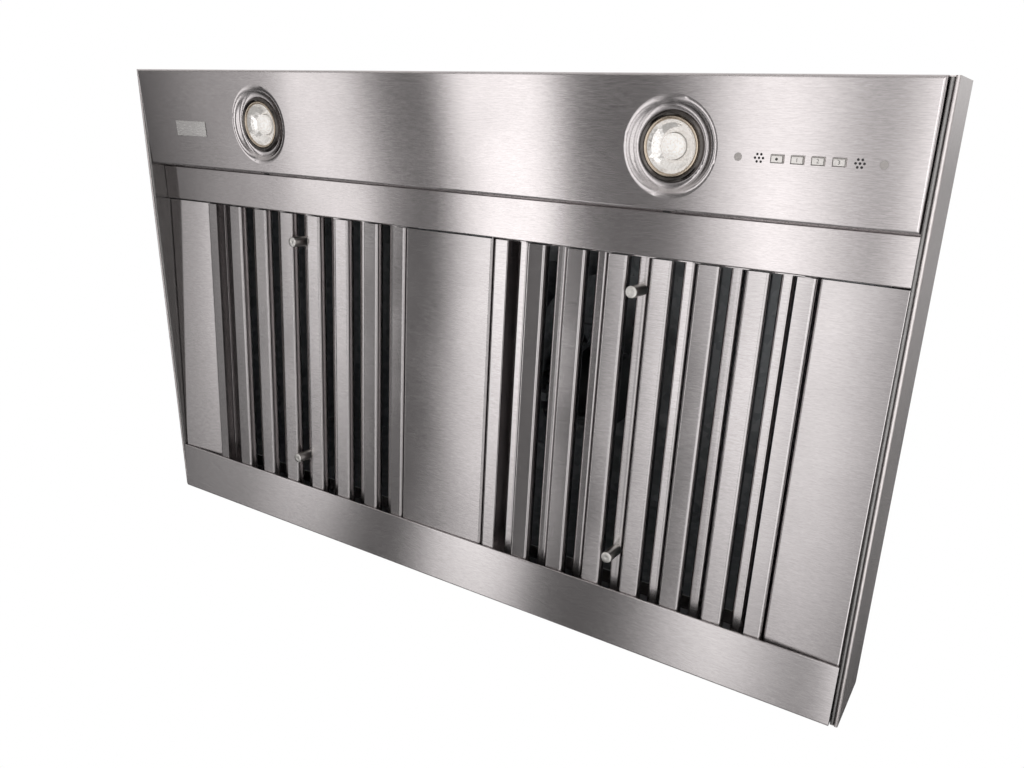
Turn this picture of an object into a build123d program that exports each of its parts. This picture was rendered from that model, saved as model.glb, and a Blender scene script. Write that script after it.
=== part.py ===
from build123d import *
from math import atan2, cos, degrees, hypot, radians, sin
import os

# Range hood insert in the position in which it is used: the brushed steel face looks down, with the
# lamps and buttons along its front edge, and the blower housing and duct collar stand on top.
# X runs to the right, Y to the rear and Z up. The origin is the centre of the four ledge screws, on the
# top face of the ledge that seats against the cabinet. All sizes are millimetres.
# A "rise" is a height above the plane of the side rims, and a "run" a distance behind the front edge.

# ---- overall ----
WIDTH = 914.0
DEPTH = 551.0
SKIRT_HEIGHT = 81.0
SHEET = 1.0
BEND = 1.5
HEM_BEND = 0.15
SLIP = 0.3
CUT = 1.0  # how far a cut runs past what it cuts

# ---- rims and ledge ----
RIM_HEM = 3.4
RIM_BEND = 0.5
RIM_RETURN = 12.0
RIM_SLIP = 0.2
LEDGE = 32.0
END_WALL_HEIGHT = 45.0
LEDGE_HOLE_R = 3.0
LEDGE_HOLE_INSET_X = 16.0
LEDGE_HOLE_INSET_Y = 55.5

# ---- face sheets, as rises and runs of their edges ----
PANEL_FRONT_RISE = -4.8
PANEL_REAR_RISE = 1.3
PANEL_RUN = 109.0
PANEL_RETURN = 34.0
PANEL_SIDE_FLANGE = 10.0
PANEL_SIDE_GAP = 0.6
BAND_RISE = 18.5
BAND_RUN = 152.0
BAND_FLANGE = 21.0
SEAM_WIDTH = 2.6
SEAM_DEPTH = 8.0
LIP_HEM = 2.4
LIP_RETURN = 10.0
REAR_BAND_DEPTH = 62.0
TROUGH_FRONT_RISE = 0.0
TROUGH_REAR_RISE = -4.0
WIRING_COVER_RUN = 138.0
WIRING_COVER_LAP = 12.0

# ---- fixed panels and filters on the sloping seat plane ----
SEAT_CLEAR = 0.3
SEAT_LAP = 10.0
PANEL_FLANGE = 12.0
SEAM_LAP = 1.0
FILLER_DIP = 3.6
FILTER_INWARD = 8.0
FILTER_WIDTH = 319.0
FILTER_GAP = 1.4
FILTER_FRONT_GAP = 1.8
FILTER_THICK = 25.0
FILTER_SHEET = 0.8
FILTER_BEND = 2.0
FILTER_SLIP = 0.1
RAIL_WIDTH = 16.0
BAFFLE_COUNT = 6
BAFFLE_WIDTH = 21.0
FRONT_BAFFLE_DEPTH = 12.0
REAR_BAFFLE_LEVEL = 12.7
REAR_BAFFLE_WIDTH = 11.6
BAFFLE_LIP = 3.0
KNOB_R = 5.75
KNOB_REACH = 11.0
KNOB_CHAMFER = 0.5
KNOB_INSETS = (32.5, 38.0)
KNOB_SCREW_R = 1.5
KNOB_SCREW_DEPTH = 11.0
KNOB_SCREW_HEAD_R = 2.7
KNOB_SCREW_HEAD = 1.8
SCREW_CLEAR = 0.1

# ---- lamps, in the plane of the control panel ----
LAMP_INSET = 210.0
LAMP_RUN = 57.0
WELL_R = 42.0
WELL_FLOOR_R = 30.2
WELL_HOLE_R = 27.0
WELL_DEPTH = 4.2
WELL_EDGE_SHARE = 0.55  # of the slope's two bends, the share of the outer one
BEZEL_R = 29.5
BEZEL_CROWN_R = 28.6
BEZEL_CROWN = 1.6
BEZEL_BORE_R = 24.9
BEZEL_RISE = 3.4
BEZEL_SLEEVE = 6.0
BEZEL_WALL = 1.6
LENS_R = 24.6
LENS_THICK = 2.4
LENS_RECESS = 1.0
LAMP_EDGE = 3.0
LAMP_NECK_R = 13.0
LAMP_NECK_LENGTH = 13.0
LAMP_LENGTH = 46.0
LAMP_PIN_R = 2.4
LAMP_PIN_OFFSET = 5.0
LAMP_PIN_LENGTH = 6.0
SOCKET_R = 17.0
SOCKET_LENGTH = 16.0
SOCKET_GAP = 0.5
BRACKET_HALF = 36.0
BRACKET_WIDTH = 18.0
BRACKET_FOOT = 12.0
BRACKET_TURN = 40.0

# ---- controls, in the plane of the control panel ----
CONTROL_INSET = 95.3
CONTROL_RUN = 61.5
BUTTON_LENGTH = 10.2
BUTTON_WIDTH = 6.4
BUTTON_PROUD = 2.6
BUTTON_PITCH = 15.7
BUTTON_NAMES = ("button_light", "button_speed_1", "button_speed_2", "button_speed_3")
BUTTON_SLIP = 0.15
BUTTON_FLANGE = 1.2
BUTTON_FLANGE_EDGE = 1.2
BUTTON_TRAVEL = 1.5
SENSOR_OFFSET = 38.25
SENSOR_HOLE_R = 1.0
SENSOR_HOLE_PITCH = 3.2
SENSOR_R = 6.0
SENSOR_HEIGHT = 4.0
WINDOW_OFFSET = 55.35
WINDOW_R = 3.1
WINDOW_FLANGE_R = 4.4
WINDOW_FLANGE = 2.0
HOUSING_HALF_LENGTH = 64.0
HOUSING_HALF_WIDTH = 17.0
HOUSING_HEIGHT = 26.0
HOUSING_WALL = 1.8
BOARD_THICK = 1.6
BOARD_SLIP = 0.4
BOARD_LEVEL = 16.0
SWITCH_SIZE = 6.0
SWITCH_HEIGHT = 3.4
BADGE_INSET = 94.0
BADGE_RUN = 65.0
BADGE_SIZE = (52.5, 17.0, 0.8)
TAB_WIDTH = 6.0
TAB_HEIGHT = 3.0
TAB_DEPTH = 1.6

# ---- blower housing on top ----
PLENUM_HEIGHT = 195.0
COVER_FLANGE = 14.0
COVER_SLIP = 0.2
HOUSING_SCREW_R = 1.9
HOUSING_SCREW_HEAD_R = 3.6
HOUSING_SCREW_HEAD = 2.2
HOUSING_SCREW_LENGTH = 6.0
LONG_SIDE_SCREW_COUNT = 6
SHORT_SIDE_SCREW_COUNT = 4
SCREW_END_MARGIN = 40.0
BOX_SIZE = (110.0, 70.0, 45.0)
BOX_INSET_X = 157.0
BOX_INSET_Y = 125.5
BOX_WALL = 1.2
BOX_CORNER = 9.0
KNOCKOUT_R = 11.0

# ---- duct collar and damper ----
COLLAR_R = 101.5
COLLAR_WALL = 1.0
COLLAR_HEIGHT = 60.0
COLLAR_FLANGE = 15.0
COLLAR_SCREW_COUNT = 6
STOP_RISE = 16.0
STOP_HEIGHT = 2.0
STOP_WIDTH = 4.5
FLAP_THICK = 1.0
FLAP_EDGE_GAP = 1.0
ROD_R = 2.0
ROD_SLIP = 0.06
ROD_ABOVE_STOP = 2.0
KNUCKLE_WALL = 1.1
KNUCKLE_LENGTH = 28.0
KNUCKLE_STEPS = (-75.0, -25.0, 25.0, 75.0)

# ---- blower ----
WHEEL_R = 75.0
WHEEL_HALF = 55.0
WHEEL_BLADE_COUNT = 36
BLADE_CHORD = 9.5
BLADE_THICK = 1.0
BLADE_ANGLE = 35.0
WHEEL_RING = 2.0
WHEEL_DISC = 1.5
HUB_R = 13.0
HUB_HALF = 13.0
SHAFT_R = 4.0
SHAFT_SLIP = 0.06
SCROLL_HALF = 65.0
SCROLL_START = 9.0
SCROLL_STEP = 11.0
SCROLL_LIFT = 88.0
SCROLL_FLANGE = 14.0
INLET_R = 60.0
MOTOR_R = 42.0
MOTOR_LENGTH = 70.0
MOTOR_GAP = 8.0
MOTOR_EDGE = 4.0
MOTOR_BAND = 12.0
MOTOR_BAND_WALL = 3.0
MOTOR_ARM_COUNT = 3
MOTOR_ARM = 10.0

HALF_WIDTH = WIDTH / 2
HALF_DEPTH = DEPTH / 2
INNER_HALF = HALF_WIDTH - 2 * RIM_HEM - RIM_SLIP
FACE_HALF = INNER_HALF - PANEL_SIDE_GAP
PLENUM_HALF_X = HALF_WIDTH - LEDGE
PLENUM_HALF_Y = HALF_DEPTH - LEDGE
LEDGE_HOLE_X = HALF_WIDTH - LEDGE_HOLE_INSET_X
LEDGE_HOLE_Y = HALF_DEPTH - LEDGE_HOLE_INSET_Y
TROUGH_RUN = DEPTH - REAR_BAND_DEPTH
LAMP_OFFSET = HALF_WIDTH - LAMP_INSET
CONTROL_OFFSET = HALF_WIDTH - CONTROL_INSET
BADGE_OFFSET = HALF_WIDTH - BADGE_INSET
BOX_PLACE = (HALF_WIDTH - BOX_INSET_X, HALF_DEPTH - BOX_INSET_Y)
FILTER_OFFSET = INNER_HALF / 2 - FILTER_INWARD
BAFFLE_PITCH = (FILTER_WIDTH - 2 * RAIL_WIDTH + BAFFLE_WIDTH) / (BAFFLE_COUNT + 1)
KNOB_RUNS = (BAND_RUN + KNOB_INSETS[0], TROUGH_RUN - KNOB_INSETS[1])


def rise(height):
    """Z of a height above the plane of the side rims."""
    return height - SKIRT_HEIGHT


def run(distance):
    """Y of a distance behind the front edge."""
    return distance - HALF_DEPTH


# ---- the three sloping planes of the face ----
PANEL_SLOPE = atan2(PANEL_REAR_RISE - PANEL_FRONT_RISE, PANEL_RUN)
PANEL_PLANE = Location((0, run(0), rise(PANEL_FRONT_RISE)), (degrees(PANEL_SLOPE), 0, 0))
SEAT_SLOPE = atan2(BAND_RISE - TROUGH_FRONT_RISE, TROUGH_RUN - BAND_RUN)
SEAT_LENGTH = hypot(BAND_RISE - TROUGH_FRONT_RISE, TROUGH_RUN - BAND_RUN)
HINGE_Y = run(TROUGH_RUN)
HINGE_Z = rise(TROUGH_FRONT_RISE + LIP_HEM + SEAT_CLEAR)
SEAT_PLANE = Location((0, HINGE_Y, HINGE_Z), (-degrees(SEAT_SLOPE), 0, 0))
FLAP_LIFT = PLENUM_HEIGHT + SHEET + STOP_RISE + STOP_HEIGHT
ROD_Z = FLAP_LIFT + ROD_ABOVE_STOP


# ---- shapes that several pieces share ----
def block(x, y, z):
    """Box between the low and high value given for each axis."""
    size = [high - low for low, high in (x, y, z)]
    middle = [(high + low) / 2 for low, high in (x, y, z)]
    return Pos(*middle) * Box(*size)


def post(radius, low, high):
    return Pos(0, 0, (low + high) / 2) * Cylinder(radius, high - low)


def ring(outer, inner, low, high):
    return post(outer, low, high) - post(inner, low - CUT, high + CUT)


def turned(*points):
    """Solid of revolution about Z of the closed outline through (radius, height) points."""
    return revolve(Plane.XZ * make_face(Polyline(*points, close=True)), Axis.Z, 360)


def along_x(section, low, high):
    """Solid of a (Y, Z) section between two X values."""
    return extrude(Plane(origin=(low, 0, 0), x_dir=(0, 1, 0), z_dir=(1, 0, 0)) * section, high - low)


def along_y(section, low, high):
    """Solid of an (X, Z) section between two Y values."""
    return extrude(Plane(origin=(0, high, 0), x_dir=(1, 0, 0), z_dir=(0, -1, 0)) * section, high - low)


def left_of(start, end):
    length = hypot(end[0] - start[0], end[1] - start[1])
    return ((start[1] - end[1]) / length, (end[0] - start[0]) / length)


def rounded(face, corner, radius):
    return fillet(face.vertices().sort_by_distance(Vector(*corner, 0))[0], radius)


def folded(points, thickness, bends):
    """Section of a folded sheet that lies to the left of its outer line through points."""
    sides = [left_of(start, end) for start, end in zip(points, points[1:])]
    inner = []
    for point, before, after in zip(points, sides[:1] + sides, sides + sides[-1:]):
        share = thickness / (1 + before[0] * after[0] + before[1] * after[1])
        inner.append((point[0] + share * (before[0] + after[0]), point[1] + share * (before[1] + after[1])))
    face = make_face(Polyline(*points, *reversed(inner), close=True))
    corners = zip(points[1:-1], inner[1:-1], sides, sides[1:], bends)
    for outer_corner, inner_corner, before, after, bend in corners:
        turns_left = before[0] * after[1] > before[1] * after[0]
        hollow, crest = (inner_corner, outer_corner) if turns_left else (outer_corner, inner_corner)
        face = rounded(face, hollow, bend)
        face = rounded(face, crest, bend + thickness)
    return face


def mirrored(solid):
    return mirror(solid, about=Plane.YZ)


def both_sides(solid):
    return [solid, mirrored(solid)]


# ---- skirt, rims and face sheets ----
def right_skirt():
    section = folded(
        [
            (HALF_WIDTH - RIM_HEM, rise(RIM_RETURN)),
            (HALF_WIDTH - RIM_HEM, rise(0)),
            (HALF_WIDTH, rise(0)),
            (HALF_WIDTH, 0),
            (PLENUM_HALF_X, 0),
        ],
        SHEET,
        [RIM_BEND, RIM_BEND, BEND],
    )
    skirt = along_y(section, -HALF_DEPTH, HALF_DEPTH)
    for low in (-HALF_DEPTH, HALF_DEPTH - SHEET):
        skirt += block(
            (INNER_HALF, HALF_WIDTH - SHEET / 2),
            (low, low + SHEET),
            (rise(0) + SHEET, -SHEET / 2),
        )
    for y in (-LEDGE_HOLE_Y, LEDGE_HOLE_Y):
        skirt -= Pos(LEDGE_HOLE_X, y, 0) * post(LEDGE_HOLE_R, -3 * SHEET, SHEET)
    return skirt


def right_end_wall():
    section = folded(
        [
            (INNER_HALF, rise(END_WALL_HEIGHT)),
            (INNER_HALF, rise(0)),
            (INNER_HALF + RIM_HEM, rise(0)),
            (INNER_HALF + RIM_HEM, rise(RIM_RETURN)),
        ],
        SHEET,
        [RIM_BEND, RIM_BEND],
    )
    clear = SHEET + RIM_SLIP
    return along_y(section, -HALF_DEPTH + clear, HALF_DEPTH - clear)


def without_ledge_corners(sheet):
    """The side skirts carry the ledge through the corners, so the front and rear folds stop short of it."""
    for side in (-1, 1):
        x = sorted((side * (PLENUM_HALF_X - SLIP), side * HALF_WIDTH))
        sheet -= block(x, (-HALF_DEPTH - CUT, HALF_DEPTH + CUT), (-SHEET - BEND, CUT))
    return sheet


def lamp_well():
    """Drawn dimple: two tangent arcs lead from the flat panel to the floor that carries the bezel."""
    width = WELL_R - WELL_FLOOR_R
    radii = (width**2 + WELL_DEPTH**2) / (2 * WELL_DEPTH)
    angle = degrees(atan2(width, radii - WELL_DEPTH))

    def slope(lift):
        upper = JernArc((WELL_R, lift), (-1, 0), radii * WELL_EDGE_SHARE, -angle)
        lower = JernArc(upper @ 1, upper % 1, radii * (1 - WELL_EDGE_SHARE), angle)
        return Curve() + [upper, lower]

    under, over = slope(0), slope(SHEET)
    flat = Line((WELL_R + SHEET, 0), (WELL_R, 0))
    floor = Polyline(
        (WELL_FLOOR_R, WELL_DEPTH),
        (WELL_HOLE_R, WELL_DEPTH),
        (WELL_HOLE_R, WELL_DEPTH + SHEET),
        (WELL_FLOOR_R, WELL_DEPTH + SHEET),
    )
    rim = Polyline((WELL_R, SHEET), (WELL_R + SHEET, SHEET), (WELL_R + SHEET, 0))
    outline = Curve() + [flat, under, floor, over, rim]
    return revolve(Plane.XZ * make_face(outline.edges()), Axis.Z, 360)


def panel_tray():
    """The panel's face with all four edges bent up and the corners closed."""
    top = rise(PANEL_REAR_RISE + PANEL_SIDE_FLANGE)
    slope = (PANEL_REAR_RISE - PANEL_FRONT_RISE) / PANEL_RUN

    def filled(inset, bend):
        lift = inset / cos(PANEL_SLOPE)
        outline = [
            (run(inset), top + inset),
            (run(inset), rise(PANEL_FRONT_RISE) + slope * inset + lift),
            (run(PANEL_RUN - inset), rise(PANEL_REAR_RISE) - slope * inset + lift),
            (run(PANEL_RUN - inset), top + inset),
        ]
        solid = along_x(make_face(Polyline(*outline, close=True)), -FACE_HALF + inset, FACE_HALF - inset)
        return fillet(solid.faces().sort_by(Axis.Z)[0].edges(), bend)

    return filled(0, BEND + SHEET) - filled(SHEET, BEND)


def front_control_panel():
    top = rise(PANEL_REAR_RISE + PANEL_SIDE_FLANGE)
    fold = folded([(run(LEDGE), 0), (run(0), 0), (run(0), top)], SHEET, [BEND])
    rear = (run(PANEL_RUN) - SHEET, run(PANEL_RUN))
    panel = panel_tray() + without_ledge_corners(along_x(fold, -FACE_HALF, FACE_HALF))
    panel += block((-FACE_HALF, FACE_HALF), rear, (top, rise(PANEL_REAR_RISE + PANEL_RETURN)))
    for x in (-LAMP_OFFSET, LAMP_OFFSET):
        lamp = PANEL_PLANE * Pos(x, LAMP_RUN, 0)
        panel -= lamp * post(WELL_R + SHEET, -SHEET, 2 * SHEET)
        panel += lamp * lamp_well()
    slot = Box(BUTTON_LENGTH + 2 * BUTTON_SLIP, BUTTON_WIDTH + 2 * BUTTON_SLIP, 4 * SHEET)
    for x in button_places():
        panel -= controls_at(x) * slot
    for x in (-SENSOR_OFFSET, SENSOR_OFFSET):
        panel -= controls_at(x) * post(SENSOR_HOLE_R, -SHEET, 2 * SHEET)
        for hole in PolarLocations(SENSOR_HOLE_PITCH, 6):
            panel -= controls_at(x) * hole * post(SENSOR_HOLE_R, -SHEET, 2 * SHEET)
    for x in (-WINDOW_OFFSET, WINDOW_OFFSET):
        panel -= controls_at(x) * post(WINDOW_R + SCREW_CLEAR, -SHEET, 2 * SHEET)
    return panel


def mid_band():
    """Sloping band; its front flange steps back at the foot, which leaves an open seam behind the panel."""
    front = PANEL_RUN + SLIP
    step = rise(BAND_RISE + SEAM_DEPTH)
    section = folded(
        [
            (run(front), rise(BAND_RISE + BAND_FLANGE)),
            (run(front), step),
            (run(front + SEAM_WIDTH), step),
            (run(front + SEAM_WIDTH), rise(BAND_RISE)),
            (run(BAND_RUN), rise(BAND_RISE)),
            (run(BAND_RUN), rise(BAND_RISE + LIP_HEM)),
            (run(BAND_RUN - LIP_RETURN), rise(BAND_RISE + LIP_HEM)),
        ],
        SHEET,
        [HEM_BEND, HEM_BEND, HEM_BEND, HEM_BEND, HEM_BEND],
    )
    return along_x(section, -FACE_HALF, FACE_HALF)


def rear_band():
    slope = (TROUGH_REAR_RISE - TROUGH_FRONT_RISE) / (DEPTH - TROUGH_RUN)
    lip = TROUGH_FRONT_RISE + LIP_HEM
    section = folded(
        [
            (run(TROUGH_RUN + LIP_RETURN), rise(lip + slope * LIP_RETURN)),
            (run(TROUGH_RUN), rise(lip)),
            (run(TROUGH_RUN), rise(TROUGH_FRONT_RISE)),
            (run(DEPTH), rise(TROUGH_REAR_RISE)),
            (run(DEPTH), 0),
            (run(DEPTH - LEDGE), 0),
        ],
        SHEET,
        [HEM_BEND, HEM_BEND, BEND, BEND],
    )
    return without_ledge_corners(along_x(section, -FACE_HALF, FACE_HALF))


def wiring_cover():
    """Closes the space of the lamps and controls off from the air path."""
    roof = -SHEET - COVER_SLIP
    section = folded(
        [
            (run(LEDGE - WIRING_COVER_LAP), roof - SHEET),
            (run(WIRING_COVER_RUN) - SHEET, roof - SHEET),
            (run(WIRING_COVER_RUN) - SHEET, rise(BAND_RISE + SHEET + SLIP)),
        ],
        SHEET,
        [BEND],
    )
    return along_x(section, -FACE_HALF, FACE_HALF)


def seat_panel(low, high, dip=0.0):
    """Fixed panel that lies on both lips beside the filters, with a slot where its face meets the front lip.
    The dip is how much deeper its face lies at the low side."""
    section = folded([(low, PANEL_FLANGE), (low, dip), (high, 0), (high, PANEL_FLANGE)], SHEET, [BEND, BEND])
    panel = along_y(section, -SEAT_LENGTH - SEAT_LAP, SEAT_LAP)
    slot = (-SEAT_LENGTH - SEAM_LAP, -SEAT_LENGTH + FILTER_FRONT_GAP)
    panel -= block((low + SHEET, high - SHEET), slot, (-CUT, dip + SHEET + BEND))
    return SEAT_PLANE * panel


def right_filler():
    return seat_panel(FILTER_OFFSET + FILTER_WIDTH / 2 + FILTER_GAP, INNER_HALF - SLIP, FILLER_DIP)


def centre_panel():
    half = FILTER_OFFSET - FILTER_WIDTH / 2 - FILTER_GAP
    return seat_panel(-half, half)


# ---- baffle filters, built about the hinge line on the rear lip ----
FILTER_FRONT = -SEAT_LENGTH + FILTER_FRONT_GAP
FILTER_REAR = SEAT_LAP
BAFFLE_FRONT = FILTER_FRONT + FILTER_SHEET + FILTER_SLIP
BAFFLE_REAR = FILTER_REAR - FILTER_SHEET - FILTER_SLIP
KNOB_PLACES = [(distance - TROUGH_RUN) / cos(SEAT_SLOPE) for distance in KNOB_RUNS]


def filter_rails():
    half, inner = FILTER_WIDTH / 2, FILTER_WIDTH / 2 - RAIL_WIDTH
    section = folded(
        [(inner, 0), (half, 0), (half, FILTER_THICK), (inner, FILTER_THICK)],
        FILTER_SHEET,
        [FILTER_BEND, FILTER_BEND],
    )
    return both_sides(along_y(section, FILTER_FRONT, FILTER_REAR))


def filter_end_plates():
    """Plates that join the rails above the ends of the front baffles."""
    half = FILTER_WIDTH / 2 - FILTER_SHEET - SLIP
    low, high = FRONT_BAFFLE_DEPTH + FILTER_SLIP, FILTER_THICK - FILTER_SHEET - FILTER_SLIP
    plate = block((-half, half), (0, FILTER_SHEET), (low, high))
    plate = fillet(plate.edges().filter_by(Axis.Y), FILTER_BEND)
    return [Pos(0, y, 0) * plate for y in (FILTER_FRONT, FILTER_REAR - FILTER_SHEET)]


def baffle_section(width, base, mouth):
    """Channel with its web at the base height and inturned lips at its mouth."""
    half = width / 2
    return folded(
        [
            (-half + BAFFLE_LIP, mouth),
            (-half, mouth),
            (-half, base),
            (half, base),
            (half, mouth),
            (half - BAFFLE_LIP, mouth),
        ],
        FILTER_SHEET,
        [FILTER_BEND] * 4,
    )


def front_baffles():
    channel = along_y(baffle_section(BAFFLE_WIDTH, 0, FRONT_BAFFLE_DEPTH), FILTER_FRONT, FILTER_REAR)
    first = -(BAFFLE_COUNT - 1) / 2
    return [Pos((first + i) * BAFFLE_PITCH, 0, 0) * channel for i in range(BAFFLE_COUNT)]


def rear_baffles():
    section = baffle_section(REAR_BAFFLE_WIDTH, REAR_BAFFLE_LEVEL, FILTER_THICK)
    channel = along_y(section, BAFFLE_FRONT, BAFFLE_REAR)
    channels = [Pos((i - BAFFLE_COUNT / 2) * BAFFLE_PITCH, 0, 0) * channel for i in range(BAFFLE_COUNT + 1)]
    middle = BAFFLE_COUNT // 2
    for y in KNOB_PLACES:
        hole = post(KNOB_SCREW_R + SCREW_CLEAR, REAR_BAFFLE_LEVEL - CUT, REAR_BAFFLE_LEVEL + FILTER_SHEET + CUT)
        channels[middle] -= Pos(0, y, 0) * hole
    return channels


def filter_knobs():
    """Turned knobs that stand on the middle rear baffle."""
    top = REAR_BAFFLE_LEVEL
    knob = post(KNOB_R, -KNOB_REACH, top)
    knob = chamfer(knob.faces().sort_by(Axis.Z)[0].edges(), KNOB_CHAMFER)
    knob -= post(KNOB_SCREW_R + SCREW_CLEAR, top - KNOB_SCREW_DEPTH - CUT, top + CUT)
    return [Pos(0, y, 0) * knob for y in KNOB_PLACES]


def filter_screws():
    seat = REAR_BAFFLE_LEVEL + FILTER_SHEET
    head = post(KNOB_SCREW_HEAD_R, seat, seat + KNOB_SCREW_HEAD)
    head = fillet(head.faces().sort_by(Axis.Z)[-1].edges(), KNOB_SCREW_HEAD / 2)
    screw = head + post(KNOB_SCREW_R, REAR_BAFFLE_LEVEL - KNOB_SCREW_DEPTH, seat)
    return [Pos(0, y, 0) * screw for y in KNOB_PLACES]


# ---- lamps ----
BEZEL_LEVEL = WELL_DEPTH - BEZEL_RISE
LENS_LEVEL = BEZEL_LEVEL + LENS_RECESS
LAMP_TOP = LENS_LEVEL + LAMP_LENGTH
SOCKET_LEVEL = LAMP_TOP + SOCKET_GAP
BRACKET_TOP = SOCKET_LEVEL + SOCKET_LENGTH


def lamp_bezel():
    """Turned ring that lies on the well's floor and passes through its hole as a sleeve."""
    middle = (BEZEL_CROWN_R + BEZEL_BORE_R) / 2
    sleeve = BEZEL_BORE_R + BEZEL_WALL
    outline = [
        (BEZEL_R, WELL_DEPTH),
        (BEZEL_CROWN_R, BEZEL_LEVEL + BEZEL_CROWN),
        (middle, BEZEL_LEVEL),
        (BEZEL_BORE_R, BEZEL_LEVEL + BEZEL_CROWN),
        (BEZEL_BORE_R, WELL_DEPTH + BEZEL_SLEEVE),
        (sleeve, WELL_DEPTH + BEZEL_SLEEVE),
        (sleeve, WELL_DEPTH),
    ]
    section = make_face(Polyline(*outline, close=True))
    for corner in outline[1:3]:
        section = rounded(section, corner, BEZEL_CROWN / 2)
    return revolve(Plane.XZ * section, Axis.Z, 360)


def lamp_lens():
    lens = post(LENS_R, LENS_LEVEL, LENS_LEVEL + LENS_THICK)
    return fillet(lens.faces().sort_by(Axis.Z)[0].edges(), LENS_THICK / 2)


def lamp_body():
    low = LENS_LEVEL + LENS_THICK
    neck = LAMP_TOP - LAMP_NECK_LENGTH
    body = turned(
        (0, low),
        (LENS_R, low),
        (LENS_R, low + LAMP_EDGE),
        (LAMP_NECK_R, neck),
        (LAMP_NECK_R, LAMP_TOP),
        (0, LAMP_TOP),
    )
    for x in (-LAMP_PIN_OFFSET, LAMP_PIN_OFFSET):
        body += Pos(x, 0, 0) * post(LAMP_PIN_R, LAMP_TOP - LAMP_EDGE, LAMP_TOP + LAMP_PIN_LENGTH)
    return body


def lamp_socket():
    """The pins turn in a ring groove, so that a twist frees the lamp."""
    reach = LAMP_PIN_R + SCREW_CLEAR
    socket = post(SOCKET_R, SOCKET_LEVEL, SOCKET_LEVEL + SOCKET_LENGTH)
    groove = LAMP_TOP + LAMP_PIN_LENGTH + SOCKET_GAP
    return socket - ring(LAMP_PIN_OFFSET + reach, LAMP_PIN_OFFSET - reach, SOCKET_LEVEL - CUT, groove)


def lamp_bracket():
    """Strap that stands on the panel on two feet and carries the socket."""
    foot = BRACKET_HALF + WELL_R - WELL_FLOOR_R
    section = folded(
        [
            (-foot - BRACKET_FOOT, SHEET),
            (-foot, SHEET),
            (-BRACKET_HALF, BRACKET_TOP),
            (BRACKET_HALF, BRACKET_TOP),
            (foot, SHEET),
            (foot + BRACKET_FOOT, SHEET),
        ],
        SHEET,
        [BEND] * 4,
    )
    return Rot(0, 0, BRACKET_TURN) * along_y(section, -BRACKET_WIDTH / 2, BRACKET_WIDTH / 2)


# ---- controls ----
def button_places():
    first = -(len(BUTTON_NAMES) - 1) / 2
    return [(first + i) * BUTTON_PITCH for i in range(len(BUTTON_NAMES))]


def controls_at(x):
    return PANEL_PLANE * Pos(CONTROL_OFFSET + x, CONTROL_RUN, 0)


def button():
    """Cap with bevelled edges; its flange behind the panel keeps it from falling out."""
    stem = BOARD_LEVEL - SWITCH_HEIGHT - BUTTON_TRAVEL - BUTTON_SLIP
    cap = block(
        (-BUTTON_LENGTH / 2, BUTTON_LENGTH / 2),
        (-BUTTON_WIDTH / 2, BUTTON_WIDTH / 2),
        (-BUTTON_PROUD, stem),
    )
    cap = chamfer(cap.faces().sort_by(Axis.Z)[0].edges(), BUTTON_PROUD / 3)
    half_length = BUTTON_LENGTH / 2 + BUTTON_FLANGE_EDGE
    half_width = BUTTON_WIDTH / 2 + BUTTON_FLANGE_EDGE
    level = SHEET + SLIP
    flange = (level, level + BUTTON_FLANGE)
    return cap + block((-half_length, half_length), (-half_width, half_width), flange)


def control_housing():
    """Open box on the back of the panel, with a ledge at each end for the board."""
    length, width, wall = HOUSING_HALF_LENGTH, HOUSING_HALF_WIDTH, HOUSING_WALL
    inner_length, inner_width = length - wall, width - wall
    housing = block((-length, length), (-width, width), (SHEET, HOUSING_HEIGHT))
    housing -= block((-inner_length, inner_length), (-inner_width, inner_width), (0, HOUSING_HEIGHT - wall))
    ledge = block(
        (inner_length - wall, inner_length + wall / 2),
        (-inner_width - wall / 2, inner_width + wall / 2),
        (BOARD_LEVEL - wall, BOARD_LEVEL),
    )
    return housing + ledge + mirrored(ledge)


def control_board():
    """Circuit board on the housing's ledges, with one switch above each button."""
    inner = HOUSING_WALL + BOARD_SLIP
    half_length = HOUSING_HALF_LENGTH - inner
    half_width = HOUSING_HALF_WIDTH - inner
    level = (BOARD_LEVEL, BOARD_LEVEL + BOARD_THICK)
    board = block((-half_length, half_length), (-half_width, half_width), level)
    switch = block(
        (-SWITCH_SIZE / 2, SWITCH_SIZE / 2),
        (-SWITCH_SIZE / 2, SWITCH_SIZE / 2),
        (BOARD_LEVEL - SWITCH_HEIGHT, BOARD_LEVEL),
    )
    return [board] + [Pos(x, 0, 0) * switch for x in button_places()]


def sensor_capsules():
    capsule = post(SENSOR_R, SHEET, SHEET + SENSOR_HEIGHT)
    return [Pos(x, 0, 0) * capsule for x in (-SENSOR_OFFSET, SENSOR_OFFSET)]


def indicator_windows():
    window = post(WINDOW_R, 0, SHEET) + post(WINDOW_FLANGE_R, SHEET, SHEET + WINDOW_FLANGE)
    return [Pos(x, 0, 0) * window for x in (-WINDOW_OFFSET, WINDOW_OFFSET)]


def badge_plate():
    length, width, thick = BADGE_SIZE
    plate = Pos(-BADGE_OFFSET, BADGE_RUN, -thick / 2) * Box(length, width, thick)
    return chamfer(plate.faces().sort_by(Axis.Z)[0].edges(), thick / 2)


def seam_tabs():
    """Ends of the spring clips that hold the panel, seen at the seam under each lamp."""
    low = rise(PANEL_REAR_RISE + BEND + SHEET)
    front = run(PANEL_RUN)
    tab = block((-TAB_WIDTH / 2, TAB_WIDTH / 2), (front, front + TAB_DEPTH), (low, low + TAB_HEIGHT))
    return [Pos(x, 0, 0) * tab for x in (-LAMP_OFFSET, LAMP_OFFSET)]


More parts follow.
